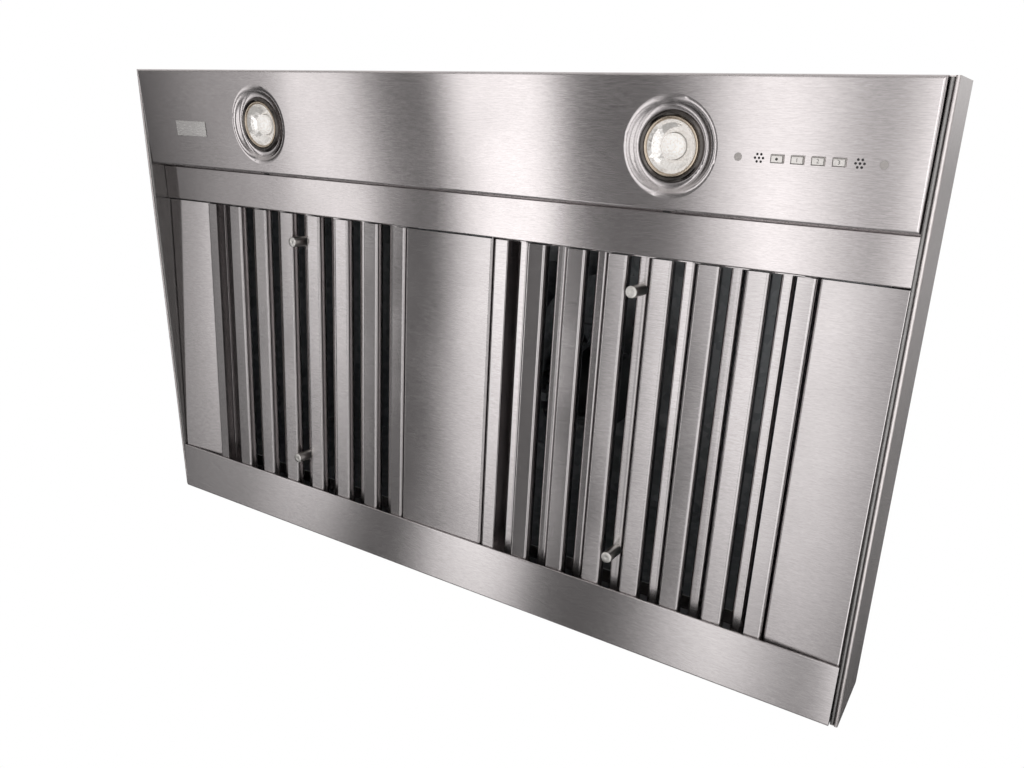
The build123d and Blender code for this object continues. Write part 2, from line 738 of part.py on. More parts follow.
# ---- blower housing ----
def spread(count, half):
    """Evenly spaced places for a row of screws along a side."""
    reach = half - SCREW_END_MARGIN
    return [-reach + 2 * reach * i / (count - 1) for i in range(count)]


def cover_screw_places():
    """Places on the cover's flanges, each turned so that +X leaves the housing."""
    level = PLENUM_HEIGHT + SHEET - COVER_FLANGE / 2
    reach = SHEET + COVER_SLIP
    places = []
    for turn, half, length, count in (
        (0, PLENUM_HALF_X, PLENUM_HALF_Y, SHORT_SIDE_SCREW_COUNT),
        (90, PLENUM_HALF_Y, PLENUM_HALF_X, LONG_SIDE_SCREW_COUNT),
    ):
        for side in (0, 180):
            for along in spread(count, length):
                places.append(Rot(0, 0, turn + side) * Pos(half + reach, along, level) * Rot(0, 90, 0))
    return places


def screw():
    head = fillet(
        post(HOUSING_SCREW_HEAD_R, 0, HOUSING_SCREW_HEAD).faces().sort_by(Axis.Z)[-1].edges(),
        HOUSING_SCREW_HEAD / 2,
    )
    return head + post(HOUSING_SCREW_R, -HOUSING_SCREW_LENGTH, 0)


def screw_hole():
    return post(HOUSING_SCREW_R + SCREW_CLEAR, -HOUSING_SCREW_LENGTH - CUT, CUT)


def with_screw_holes(sheet, places):
    for place in places:
        sheet -= place * screw_hole()
    return sheet


def plenum_side():
    x = (PLENUM_HALF_X - SLIP - SHEET, PLENUM_HALF_X - SLIP)
    return block(x, (-PLENUM_HALF_Y + SLIP, PLENUM_HALF_Y - SLIP), (-SHEET, PLENUM_HEIGHT))


def plenum_front():
    half = PLENUM_HALF_X - 2 * SLIP - SHEET
    y = (-PLENUM_HALF_Y + SLIP, -PLENUM_HALF_Y + SLIP + SHEET)
    return block((-half, half), y, (-SHEET, PLENUM_HEIGHT))


def plenum_top():
    x, y = PLENUM_HALF_X + COVER_SLIP, PLENUM_HALF_Y + COVER_SLIP
    top = PLENUM_HEIGHT + SHEET
    cover = block((-x - SHEET, x + SHEET), (-y - SHEET, y + SHEET), (top - COVER_FLANGE, top))
    cover = fillet(cover.faces().sort_by(Axis.Z)[-1].edges(), BEND)
    cover -= block((-x, x), (-y, y), (top - COVER_FLANGE - CUT, PLENUM_HEIGHT))
    mouth_x = (SHEET - SCROLL_HALF, SCROLL_HALF - SHEET)
    mouth_z = (PLENUM_HEIGHT - CUT, top + CUT)
    return cover - block(mouth_x, (MOUTH_FRONT + SHEET, SCROLL_Y - SHEET), mouth_z)


def collar_screw_places():
    middle = COLLAR_R + COLLAR_FLANGE / 2
    level = PLENUM_HEIGHT + 2 * SHEET
    return [Pos(0, 0, level) * place for place in PolarLocations(middle, COLLAR_SCREW_COUNT, start_angle=30)]


def box_screw_places():
    x, y = BOX_SIZE[0] / 2 - BOX_CORNER / 2, BOX_SIZE[1] / 2 - BOX_CORNER / 2
    level = PLENUM_HEIGHT + SHEET + BOX_SIZE[2] + SHEET
    return [Pos(BOX_PLACE[0] + side * x, BOX_PLACE[1] + side * y, level) for side in (-1, 1)]


def junction_box():
    """Open box with a knockout on its right and two corner blocks that take the lid's screws."""
    length, width, height = BOX_SIZE
    x, y = length / 2 - BOX_WALL, width / 2 - BOX_WALL
    box = block((-length / 2, length / 2), (-width / 2, width / 2), (0, height))
    box -= block((-x, x), (-y, y), (BOX_WALL, height + CUT))
    for side in (-1, 1):
        x, y = side * (length - BOX_CORNER) / 2, side * (width - BOX_CORNER) / 2
        box += Pos(x, y, height / 2) * Box(BOX_CORNER, BOX_CORNER, height)
    box -= Pos(length / 2, 0, height / 2) * Rot(0, 90, 0) * post(KNOCKOUT_R, -2 * BOX_WALL, BOX_WALL)
    box = Pos(BOX_PLACE[0], BOX_PLACE[1], PLENUM_HEIGHT + SHEET) * box
    return with_screw_holes(box, box_screw_places())


def junction_cover():
    length, width, height = BOX_SIZE
    low = PLENUM_HEIGHT + SHEET + height
    lid = Pos(BOX_PLACE[0], BOX_PLACE[1], low + SHEET / 2) * Box(length, width, SHEET)
    return with_screw_holes(lid, box_screw_places())


def housing_screws():
    places = cover_screw_places() + collar_screw_places() + box_screw_places()
    return [place * screw() for place in places]


# ---- duct collar and damper ----
def collar_flange():
    low = PLENUM_HEIGHT + SHEET
    flange = ring(COLLAR_R + COLLAR_FLANGE, COLLAR_R - COLLAR_WALL, low, low + SHEET)
    return with_screw_holes(flange, collar_screw_places())


def duct_collar():
    """Tube on the flange, with an inner ring that the damper flaps close against."""
    low = PLENUM_HEIGHT + SHEET
    inner = COLLAR_R - COLLAR_WALL
    stop = low + STOP_RISE
    collar = ring(COLLAR_R, inner, low + SHEET, low + COLLAR_HEIGHT)
    collar += ring(inner + COLLAR_WALL / 2, inner - STOP_WIDTH, stop, stop + STOP_HEIGHT)
    return collar - Pos(0, 0, ROD_Z) * Rot(0, 90, 0) * post(ROD_R, -COLLAR_R - CUT, COLLAR_R + CUT)


def damper_rod():
    reach = COLLAR_R - SLIP
    return Pos(0, 0, ROD_Z) * Rot(0, 90, 0) * post(ROD_R, -reach, reach)


def damper_flap(side, steps):
    """Half disc on two knuckles; side is 1 for the rear flap and -1 for the front one."""
    knuckle_r = ROD_R + ROD_SLIP + KNUCKLE_WALL
    start = knuckle_r + SLIP
    radius = COLLAR_R - COLLAR_WALL - FLAP_EDGE_GAP
    low = FLAP_LIFT + SLIP
    flap = post(radius, low, low + FLAP_THICK)
    half = block((-radius, radius), sorted((side * start, side * radius)), (low, low + FLAP_THICK))
    flap &= half
    for x in steps:
        reach = KNUCKLE_LENGTH / 2
        flap += Pos(x, 0, ROD_Z) * Rot(0, 90, 0) * post(knuckle_r, -reach, reach)
        flap += block((x - reach, x + reach), sorted((0, side * (start + SLIP))), (low, low + FLAP_THICK))
    return flap - Pos(0, 0, ROD_Z) * Rot(0, 90, 0) * post(ROD_R + ROD_SLIP, -radius, radius)


# ---- blower ----
SCROLL_RADII = [WHEEL_R + SCROLL_START + i * SCROLL_STEP for i in range(3)]
SCROLL_Y = (SCROLL_RADII[1] - SCROLL_RADII[0] + SCROLL_RADII[2]) / 2
MOUTH_FRONT = -SCROLL_Y
BLOWER_AXIS = Location((0, SCROLL_Y, SCROLL_LIFT), (0, 90, 0))
MOTOR_START = SCROLL_HALF + MOTOR_GAP


def scroll_outline():
    """Volute of three quarter arcs of growing radius, then straight up to the outlet on both sides."""
    first, second, third = SCROLL_RADII
    top = PLENUM_HEIGHT
    half_turn = [(SCROLL_Y, SCROLL_LIFT + first), (SCROLL_Y + first, SCROLL_LIFT)]
    shift = SCROLL_Y + first - second
    bottom = (shift, SCROLL_LIFT - second)
    front = (shift - third, SCROLL_LIFT - second + third)
    diagonal = sin(radians(45))
    edges = [
        Line((SCROLL_Y, top), half_turn[0]),
        ThreePointArc(
            half_turn[0],
            (SCROLL_Y + first * diagonal, SCROLL_LIFT + first * diagonal),
            half_turn[1],
        ),
        ThreePointArc(
            half_turn[1],
            (shift + second * diagonal, SCROLL_LIFT - second * diagonal),
            bottom,
        ),
        ThreePointArc(
            bottom,
            (shift - third * diagonal, SCROLL_LIFT - second + third - third * diagonal),
            front,
        ),
        Line(front, (front[0], top)),
        Line((front[0], top), (SCROLL_Y, top)),
    ]
    return make_face(edges)


def blower_scroll():
    outline = scroll_outline()
    inner = offset(outline, -SHEET)
    wrap = along_x(outline, -SCROLL_HALF, SCROLL_HALF)
    wrap -= along_x(inner, -SCROLL_HALF - CUT, SCROLL_HALF + CUT)
    x = (-SCROLL_HALF, SCROLL_HALF)
    top = PLENUM_HEIGHT
    mouth = (MOUTH_FRONT + SHEET, SCROLL_Y - SHEET)
    wrap -= block((-SCROLL_HALF - CUT, SCROLL_HALF + CUT), mouth, (top - 2 * SHEET, top + CUT))
    wrap += block(x, (MOUTH_FRONT - SCROLL_FLANGE, MOUTH_FRONT + SHEET), (top - SHEET, top))
    return wrap + block(x, (SCROLL_Y - SHEET, SCROLL_Y + SCROLL_FLANGE), (top - SHEET, top))


def blower_side_plates():
    plate = along_x(scroll_outline(), SCROLL_HALF, SCROLL_HALF + SHEET)
    plate -= BLOWER_AXIS * post(INLET_R, SCROLL_HALF - CUT, SCROLL_HALF + SHEET + CUT)
    return both_sides(plate)


def blower_wheel():
    wheel = post(WHEEL_R, -WHEEL_DISC / 2, WHEEL_DISC / 2) + post(HUB_R, -HUB_HALF, HUB_HALF)
    middle = WHEEL_R - BLADE_CHORD / 2
    for side in (-1, 1):
        low, high = sorted((side * WHEEL_HALF, side * (WHEEL_HALF + WHEEL_RING)))
        wheel += ring(WHEEL_R, WHEEL_R - BLADE_CHORD, low, high)
    blade = Rot(0, 0, BLADE_ANGLE) * Box(BLADE_CHORD, BLADE_THICK, 2 * WHEEL_HALF + WHEEL_RING)
    wheel += [place * blade for place in PolarLocations(middle, WHEEL_BLADE_COUNT)]
    wheel -= post(SHAFT_R, -HUB_HALF - CUT, HUB_HALF + CUT)
    return BLOWER_AXIS * wheel


def motor_shaft():
    return BLOWER_AXIS * post(SHAFT_R, -HUB_HALF, MOTOR_START + MOTOR_LENGTH - MOTOR_EDGE)


def motor():
    body = post(MOTOR_R, MOTOR_START, MOTOR_START + MOTOR_LENGTH)
    body = chamfer(body.edges().filter_by(GeomType.CIRCLE), MOTOR_EDGE)
    end = MOTOR_START + MOTOR_LENGTH - MOTOR_EDGE + SLIP
    return BLOWER_AXIS * (body - post(SHAFT_R + SHAFT_SLIP, MOTOR_START - CUT, end))


def motor_bracket():
    """Band round the motor on three arms that stand on the right side plate."""
    low = MOTOR_START + 2 * MOTOR_EDGE
    inner = MOTOR_R + COVER_SLIP
    outer = inner + MOTOR_BAND_WALL
    foot = INLET_R + MOTOR_ARM
    bracket = ring(outer, inner, low, low + MOTOR_BAND)
    for turn in range(MOTOR_ARM_COUNT):
        width = (-MOTOR_ARM / 2, MOTOR_ARM / 2)
        arm = block((outer - CUT, foot + MOTOR_ARM), width, (low, low + MOTOR_BAND_WALL))
        leg = block((foot, foot + MOTOR_ARM), width, (SCROLL_HALF + SHEET, low + MOTOR_BAND_WALL))
        bracket += Rot(0, 0, 360 / MOTOR_ARM_COUNT * turn) * (arm + leg)
    return BLOWER_AXIS * bracket


# ---- assembly ----
def save(name, shapes):
    shapes = shapes if isinstance(shapes, list) else [shapes]
    solids = [solid for shape in shapes for solid in shape.solids()]
    export_step(solids[0] if len(solids) == 1 else Compound(children=solids), f"parts/{name}.step")


def placed(place, shapes):
    return [place * shape for shape in (shapes if isinstance(shapes, list) else [shapes])]


def save_pair(name, solid):
    """Saves a piece of the right side and its mirror image on the left."""
    save(f"right_{name}", solid)
    save(f"left_{name}", mirrored(solid))


def main():
    os.makedirs("parts", exist_ok=True)
    save("front_control_panel", front_control_panel())
    save("mid_band", mid_band())
    save("rear_band", rear_band())
    save("wiring_cover", wiring_cover())
    save("centre_panel", centre_panel())
    save_pair("skirt", right_skirt())
    save_pair("end_wall", right_end_wall())
    save_pair("filler", right_filler())

    filter_pieces = {
        "rails": filter_rails(),
        "end_plates": filter_end_plates(),
        "front_baffles": front_baffles(),
        "rear_baffles": rear_baffles(),
        "knobs": filter_knobs(),
        "screws": filter_screws(),
    }
    lamp_pieces = {"bezel": lamp_bezel(), "lens": lamp_lens(), "body": lamp_body()}
    lamps = []
    for side, sign in (("left", -1), ("right", 1)):
        for piece, shapes in filter_pieces.items():
            save(f"{side}_filter_{piece}", placed(SEAT_PLANE * Pos(sign * FILTER_OFFSET, 0, 0), shapes))
        lamp = PANEL_PLANE * Pos(sign * LAMP_OFFSET, LAMP_RUN, 0)
        for piece, shape in lamp_pieces.items():
            save(f"{side}_lamp_{piece}", lamp * shape)
        lamps.append(lamp)
    save("lamp_sockets", [lamp * lamp_socket() for lamp in lamps])
    save("lamp_brackets", [lamp * lamp_bracket() for lamp in lamps])

    for name, x in zip(BUTTON_NAMES, button_places()):
        save(name, controls_at(x) * button())
    save("control_housing", controls_at(0) * control_housing())
    save("control_board", placed(controls_at(0), control_board()))
    save("sensor_capsules", placed(controls_at(0), sensor_capsules()))
    save("indicator_windows", placed(controls_at(0), indicator_windows()))
    save("badge_plate", PANEL_PLANE * badge_plate())
    save("seam_tabs", seam_tabs())

    front_wall, side_wall, screws = plenum_front(), plenum_side(), cover_screw_places()
    save("plenum_front", with_screw_holes(front_wall, screws))
    save("plenum_rear", with_screw_holes(mirror(front_wall, about=Plane.XZ), screws))
    save("plenum_right", with_screw_holes(side_wall, screws))
    save("plenum_left", with_screw_holes(mirrored(side_wall), screws))
    save("plenum_top", with_screw_holes(plenum_top(), screws + collar_screw_places()))
    save("junction_box", junction_box())
    save("junction_cover", junction_cover())
    save("housing_screws", housing_screws())

    save("collar_flange", collar_flange())
    save("duct_collar", duct_collar())
    save("damper_rod", damper_rod())
    save("damper_flap_rear", damper_flap(1, KNUCKLE_STEPS[0::2]))
    save("damper_flap_front", damper_flap(-1, KNUCKLE_STEPS[1::2]))
    save("blower_scroll", blower_scroll())
    save("blower_side_plates", blower_side_plates())
    save("blower_wheel", blower_wheel())
    save("motor_shaft", motor_shaft())
    save("motor", motor())
    save("motor_bracket", motor_bracket())


main()
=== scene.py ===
from math import atan2, cos, pi, sin

import bmesh
import bpy
from mathutils import Matrix, Vector


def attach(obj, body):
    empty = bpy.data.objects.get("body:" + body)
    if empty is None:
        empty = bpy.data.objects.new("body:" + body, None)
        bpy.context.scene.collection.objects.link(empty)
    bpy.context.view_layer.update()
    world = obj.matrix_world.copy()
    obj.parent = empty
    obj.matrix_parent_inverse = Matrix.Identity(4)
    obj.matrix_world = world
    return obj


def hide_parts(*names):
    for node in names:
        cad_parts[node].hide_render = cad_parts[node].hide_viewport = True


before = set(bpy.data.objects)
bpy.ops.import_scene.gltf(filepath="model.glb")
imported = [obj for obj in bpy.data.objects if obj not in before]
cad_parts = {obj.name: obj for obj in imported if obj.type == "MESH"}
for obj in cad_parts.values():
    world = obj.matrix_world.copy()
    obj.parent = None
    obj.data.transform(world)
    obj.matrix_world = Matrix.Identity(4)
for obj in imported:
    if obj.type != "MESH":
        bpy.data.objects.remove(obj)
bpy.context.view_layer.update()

# Range hood insert, seen from below and from its right. Everything is in metres, in the frame of
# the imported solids: the brushed steel face looks down, X runs to the right, Y to the rear and Z up,
# and the origin is the middle of the ledge that seats against the cabinet.

MM = 0.001
BODY = "housing"
SIDES = {"left": -1, "right": 1}
BUTTONS = ("button_light", "button_speed_1", "button_speed_2", "button_speed_3")

# ---- camera, fitted to the rims and corners of the object ----
CAMERA_PLACE = Vector((0.5340, -0.2422, -0.7571))
CAMERA_RIGHT = Vector((0.85138, -0.03245, 0.52354))
CAMERA_UP = Vector((-0.20498, -0.93930, 0.27512))
CAMERA_BACK = Vector((0.48283, -0.34155, -0.80636))
CAMERA_REACH = 100
LENS = 29.325
SENSOR = 36.0
SHIFT_X = -0.02608
SHIFT_Y = 0.03073

# ---- planes of the face, as in the solids ----
HALF_DEPTH = 275.5 * MM
RIM_LEVEL = -81.0 * MM
PANEL_FRONT = -4.8 * MM
PANEL_REAR = 1.3 * MM
PANEL_RUN = 109.0 * MM
TROUGH_Y = 213.5 * MM
SEAT_RISE = 2.7 * MM
BAND_RISE = 18.5 * MM
BAND_RUN = 337.0 * MM
PANEL_SLOPE = atan2(PANEL_REAR - PANEL_FRONT, PANEL_RUN)
SEAT_SLOPE = atan2(BAND_RISE, BAND_RUN)
PANEL_PLACE = Matrix.Translation((0, -HALF_DEPTH, RIM_LEVEL + PANEL_FRONT))
PANEL_PLANE = PANEL_PLACE @ Matrix.Rotation(PANEL_SLOPE, 4, "X")
SEAT_PLACE = Matrix.Translation((0, TROUGH_Y, RIM_LEVEL + SEAT_RISE))
SEAT_PLANE = SEAT_PLACE @ Matrix.Rotation(-SEAT_SLOPE, 4, "X")

# ---- filters: their slats and knobs ----
FILTER_X = 217.0 * MM
TROUGH_RUN = 489.0 * MM
KNOB_R = 5.75 * MM
KNOB_REACH = 11.0 * MM
KNOB_TOP = 12.7 * MM
KNOB_BEVEL = 0.5 * MM
KNOB_DIMPLE_R = 0.9 * MM
KNOB_DIMPLE_DEPTH = 0.4 * MM
KNOB_RUNS = (184.5 * MM, 451.0 * MM)
SLAT_PITCH = 44.0 * MM
SLAT_TWIST = {  # sideways lean of each slat, in radians
    "left": (-0.01, 0, 0, -0.005, -0.012, 0.02),
    "right": (0.1, 0.01, 0.078, 0.062, -0.01, 0),
}
TWIST_MOST = 0.1
TWIST_SPAN = 0.45

# ---- lamps, measured from the panel's plane upwards ----
LAMP_X = 247.0 * MM
LAMP_Y = 57.0 * MM
LENS_LEVEL = 1.8 * MM
RIM_R = 24.6 * MM
RIM_DEPTH = 3.0 * MM
REFLECTOR_R = 21.8 * MM
REFLECTOR_EDGE = 1.6 * MM
REFLECTOR_DEPTH = 8.0 * MM
REFLECTOR_CURVE = 0.7
REFLECTOR_STEPS = 4
FACET_COUNT = 28
CAP_R = 10.6 * MM
CAP_GAP = 0.6 * MM
# Outlines of the rim and the cap: radius, and height above the level of the lens.
RIM_OUTLINE = (
    (RIM_R, 0.8 * MM),
    (RIM_R - 0.5 * MM, 0.15 * MM),
    (RIM_R - 1.3 * MM, 0),
    (RIM_R - 2.2 * MM, 0.4 * MM),
    (REFLECTOR_R, REFLECTOR_EDGE),
    (REFLECTOR_R, RIM_DEPTH),
    (RIM_R, RIM_DEPTH),
)
CAP_OUTLINE = (
    (0, 3.4 * MM),
    (CAP_R * 0.5, 3.6 * MM),
    (CAP_R * 0.86, 4.4 * MM),
    (CAP_R, 5.6 * MM),
    (CAP_R, 10.5 * MM),
    (0, 10.5 * MM),
)
SHELL_EDGE = 5.4 * MM
SHELL_WALL = 1.0 * MM
LAMP_TOP = 47.8 * MM
LAMP_NECK_R = 13.0 * MM
LAMP_NECK_LENGTH = 13.0 * MM
LAMP_PIN_R = 2.4 * MM
LAMP_PIN_OFFSET = 5.0 * MM
LAMP_PIN_LENGTH = 6.0 * MM
LAMP_PIN_ROOT = 1.0 * MM

# ---- buttons and their marks ----
CONTROL_X = 361.7 * MM
CONTROL_Y = 61.5 * MM
BUTTON_PITCH = 15.7 * MM
BUTTON_PROUD = 2.6 * MM
MARK_PROUD = 0.03 * MM
DOT_R = 1.1 * MM
DIGIT_SIZE = 4.4 * MM

# Sides of a full turn, more for a larger radius.
TURN_SEGMENTS = 64
SMALL_TURN_SEGMENTS = 48
DOT_SEGMENTS = 32
PIN_SEGMENTS = 24
SHARP_ANGLE = 0.5  # radians


# ---- materials ----
NOISE_SPAN = {"From Min": 0.3, "From Max": 0.7}  # a noise node's values seldom leave this span
TWO_NOISE_SPAN = {"From Min": 0.72, "From Max": 1.28}  # and the sum of two layers this one
# A direction given along the object's own axes, which turns with the object.
OWN_AXES = {"vector_type": "VECTOR", "convert_from": "OBJECT", "convert_to": "WORLD"}


def linear(code):
    """Linear colour of an sRGB hex code such as "c8c5c1"."""
    parts = [int(code[i : i + 2], 16) / 255 for i in (0, 2, 4)]
    return [p / 12.92 if p <= 0.04045 else ((p + 0.055) / 1.055) ** 2.4 for p in parts] + [1.0]


def add(tree, kind, inputs=None, **settings):
    """Adds a node; an input is a value or the socket that feeds it."""
    node = tree.nodes.new(kind)
    for name, value in settings.items():
        setattr(node, name, value)
    for name, value in (inputs or {}).items():
        if isinstance(value, bpy.types.NodeSocket):
            tree.links.new(value, node.inputs[name])
        else:
            node.inputs[name].default_value = value
    return node


def new_material(name, **values):
    """Material with its Principled shader set to the given values."""
    material = bpy.data.materials.new(name)
    material.use_nodes = True
    tree = material.node_tree
    shader = tree.nodes["Principled BSDF"]
    for socket, value in values.items():
        shader.inputs[socket.replace("_", " ")].default_value = value
    return material, tree, shader


def stretched(tree, sizes):
    """Object coordinates divided by a feature size along each axis, in metres."""
    place = add(tree, "ShaderNodeTexCoord")
    return add(
        tree,
        "ShaderNodeMapping",
        {"Vector": place.outputs["Object"], "Scale": [1 / size for size in sizes]},
    ).outputs["Vector"]


def lean(tree, normal, angle, axis=(1.0, 0.0, 0.0)):
    """Normal leaned towards one of the object's own axes by a small angle in radians."""
    side = add(tree, "ShaderNodeVectorTransform", {"Vector": axis}, **OWN_AXES).outputs["Vector"]
    shift = add(
        tree, "ShaderNodeVectorMath", {0: side, "Scale": angle}, operation="SCALE"
    ).outputs["Vector"]
    total = add(
        tree, "ShaderNodeVectorMath", {0: normal, 1: shift}, operation="ADD"
    ).outputs["Vector"]
    return add(
        tree, "ShaderNodeVectorMath", {0: total}, operation="NORMALIZE"
    ).outputs["Vector"]


def slat_twist(tree):
    """Angle by which each filter slat leans sideways, from its place along X: pressed slats are
    never all in one plane, so each one mirrors a different part of the room."""
    place = add(tree, "ShaderNodeTexCoord").outputs["Object"]
    x = add(tree, "ShaderNodeSeparateXYZ", {"Vector": place}).outputs["X"]
    share = add(
        tree,
        "ShaderNodeMapRange",
        {"Value": x, "From Min": -TWIST_SPAN, "From Max": TWIST_SPAN},
    ).outputs["Result"]
    ramp = add(tree, "ShaderNodeValToRGB", {"Fac": share})
    ramp.color_ramp.interpolation = "CONSTANT"
    steps = ramp.color_ramp.elements
    stops = [(-TWIST_SPAN, 0.0)]
    for side, angles in SLAT_TWIST.items():
        start = SIDES[side] * FILTER_X - len(angles) / 2 * SLAT_PITCH
        stops += [(start + count * SLAT_PITCH, angle) for count, angle in enumerate(angles)]
        stops.append((start + len(angles) * SLAT_PITCH, 0.0))
    while len(steps) < len(stops):
        steps.new(1.0)
    for step, (edge, angle) in zip(steps, stops):
        grey = 0.5 + angle / TWIST_MOST / 2
        step.position = (edge + TWIST_SPAN) / (2 * TWIST_SPAN)
        step.color = (grey, grey, grey, 1)
    return add(
        tree,
        "ShaderNodeMapRange",
        {"Value": ramp.outputs["Color"], "To Min": -TWIST_MOST, "To Max": TWIST_MOST},
    ).outputs["Result"]


SCRATCHES = ((0.45, 4), (0.8, 10))  # width and length of each layer, in mm
SCRATCH_DEPTH = 0.05 * MM
SCRATCH_RELIEF = 0.035
CLOUD_SIZE = 70 * MM
CLOUD_ROUGHNESS = 0.02
WAVE_STRETCH = 1.6


def brushed_steel(
    name,
    grain,
    cross,
    dark="b9b3b3",
    light="cfc9c9",
    roughness=(0.195, 0.225),
    wave=(140, 0.003),
    twist=False,
    nod=0.0,
    list_right=0.0,
):
    """Stainless sheet, belt brushed along the grain axis (0, 1 or 2): it mirrors its surroundings
    sharply along the grain and smears them across it. Fine scratches show as faint streaks, and
    slow waves from rolling as soft bends of the mirrored light. Scratches are drawn 0.45 mm wide
    and more, because the real 0.1 mm would not show. The wave is a size in mm and a lean in
    radians; nod and list_right are the lean of the whole sheet to the rear and to the right, as
    pressed sheets have from springback."""
    material, tree, shader = new_material(name, Metallic=1.0, Anisotropic=1.0)
    streaks = None
    for width, length in SCRATCHES:
        sizes = [width * MM] * 3
        sizes[grain] = length * MM
        layer = add(
            tree,
            "ShaderNodeTexNoise",
            {"Vector": stretched(tree, sizes), "Scale": 1.0, "Detail": 2.0, "Roughness": 0.6},
        ).outputs["Fac"]
        streaks = layer if streaks is None else add(
            tree, "ShaderNodeMath", {0: streaks, 1: layer}, operation="ADD"
        ).outputs[0]
    streaks = add(
        tree, "ShaderNodeMapRange", {**TWO_NOISE_SPAN, "Value": streaks}
    ).outputs["Result"]
    colour = add(
        tree,
        "ShaderNodeMix",
        {"Factor": streaks, "A": linear(dark), "B": linear(light)},
        data_type="RGBA",
    )
    tree.links.new(colour.outputs["Result"], shader.inputs["Base Color"])

    clouds = add(
        tree,
        "ShaderNodeTexNoise",
        {"Vector": stretched(tree, [CLOUD_SIZE] * 3), "Scale": 1.0, "Detail": 3.0},
    ).outputs["Fac"]
    clouded = add(
        tree,
        "ShaderNodeMapRange",
        {**NOISE_SPAN, "Value": clouds, "To Min": -CLOUD_ROUGHNESS, "To Max": CLOUD_ROUGHNESS},
    ).outputs["Result"]
    scratched = add(
        tree,
        "ShaderNodeMapRange",
        {"Value": streaks, "To Min": roughness[0], "To Max": roughness[1]},
    ).outputs["Result"]
    spread = add(tree, "ShaderNodeMath", {0: scratched, 1: clouded}, operation="ADD")
    tree.links.new(spread.outputs[0], shader.inputs["Roughness"])

    size, angle = wave
    sizes = (size * MM, WAVE_STRETCH * size * MM, size * MM)
    waves = add(
        tree,
        "ShaderNodeTexNoise",
        {"Vector": stretched(tree, sizes), "Scale": 1.0, "Detail": 1.0},
    ).outputs["Fac"]
    bends = add(
        tree,
        "ShaderNodeMapRange",
        {**NOISE_SPAN, "Value": waves, "To Min": -angle, "To Max": angle},
    ).outputs["Result"]
    if twist:
        bends = add(
            tree, "ShaderNodeMath", {0: bends, 1: slat_twist(tree)}, operation="ADD"
        ).outputs[0]
    relief = add(
        tree,
        "ShaderNodeBump",
        {"Height": streaks, "Strength": SCRATCH_RELIEF, "Distance": SCRATCH_DEPTH},
    )
    normal = lean(tree, relief.outputs["Normal"], bends)
    for angle, axis in ((list_right, (1.0, 0.0, 0.0)), (nod, (0.0, 1.0, 0.0))):
        if angle:
            normal = lean(tree, normal, angle, axis)
    tree.links.new(normal, shader.inputs["Normal"])

    across = [0.0, 0.0, 0.0]
    across[cross] = 1.0
    along = add(tree, "ShaderNodeVectorTransform", {"Vector": across}, **OWN_AXES)
    tree.links.new(along.outputs["Vector"], shader.inputs["Tangent"])
    return material


def galvanised_sheet():
    """Hot-dip zinc on steel: pale spangles 9 mm across, each with its own grey and gloss."""
    material, tree, shader = new_material("galvanised_sheet", Metallic=0.9)
    cells = add(
        tree,
        "ShaderNodeTexVoronoi",
        {"Vector": stretched(tree, [9 * MM] * 3), "Scale": 1.0, "Randomness": 1.0},
    )
    grey = add(
        tree, "ShaderNodeSeparateColor", {"Color": cells.outputs["Color"]}
    ).outputs["Red"]
    colour = add(
        tree,
        "ShaderNodeMix",
        {"Factor": grey, "A": linear("9a9ea1"), "B": linear("b9bcbe")},
        data_type="RGBA",
    )
    tree.links.new(colour.outputs["Result"], shader.inputs["Base Color"])
    gloss = add(tree, "ShaderNodeMapRange", {"Value": grey, "To Min": 0.34, "To Max": 0.52})
    tree.links.new(gloss.outputs["Result"], shader.inputs["Roughness"])
    fine = add(
        tree,
        "ShaderNodeTexNoise",
        {"Vector": stretched(tree, [2.5 * MM] * 3), "Scale": 1.0, "Detail": 3.0},
    ).outputs["Fac"]
    relief = add(
        tree, "ShaderNodeBump", {"Height": fine, "Strength": 0.08, "Distance": 0.2 * MM}
    )
    tree.links.new(relief.outputs["Normal"], shader.inputs["Normal"])
    return material


def mottled(name, dark, light, size, low, high, bump=0.0, **values):
    """Even finish with slight mottling: colours, feature size in metres, and a range of
    roughness."""
    material, tree, shader = new_material(name, **values)
    noise = add(
        tree,
        "ShaderNodeTexNoise",
        {"Vector": stretched(tree, [size] * 3), "Scale": 1.0, "Detail": 4.0, "Roughness": 0.6},
    ).outputs["Fac"]
    cloud = add(tree, "ShaderNodeMapRange", {**NOISE_SPAN, "Value": noise}).outputs["Result"]
    colour = add(
        tree,
        "ShaderNodeMix",
        {"Factor": cloud, "A": linear(dark), "B": linear(light)},
        data_type="RGBA",
    )
    tree.links.new(colour.outputs["Result"], shader.inputs["Base Color"])
    gloss = add(
        tree,
        "ShaderNodeMapRange",
        {**NOISE_SPAN, "Value": noise, "To Min": low, "To Max": high},
    )
    tree.links.new(gloss.outputs["Result"], shader.inputs["Roughness"])
    if bump:
        relief = add(
            tree, "ShaderNodeBump", {"Height": noise, "Strength": bump, "Distance": size / 4}
        )
        tree.links.new(relief.outputs["Normal"], shader.inputs["Normal"])
    return material


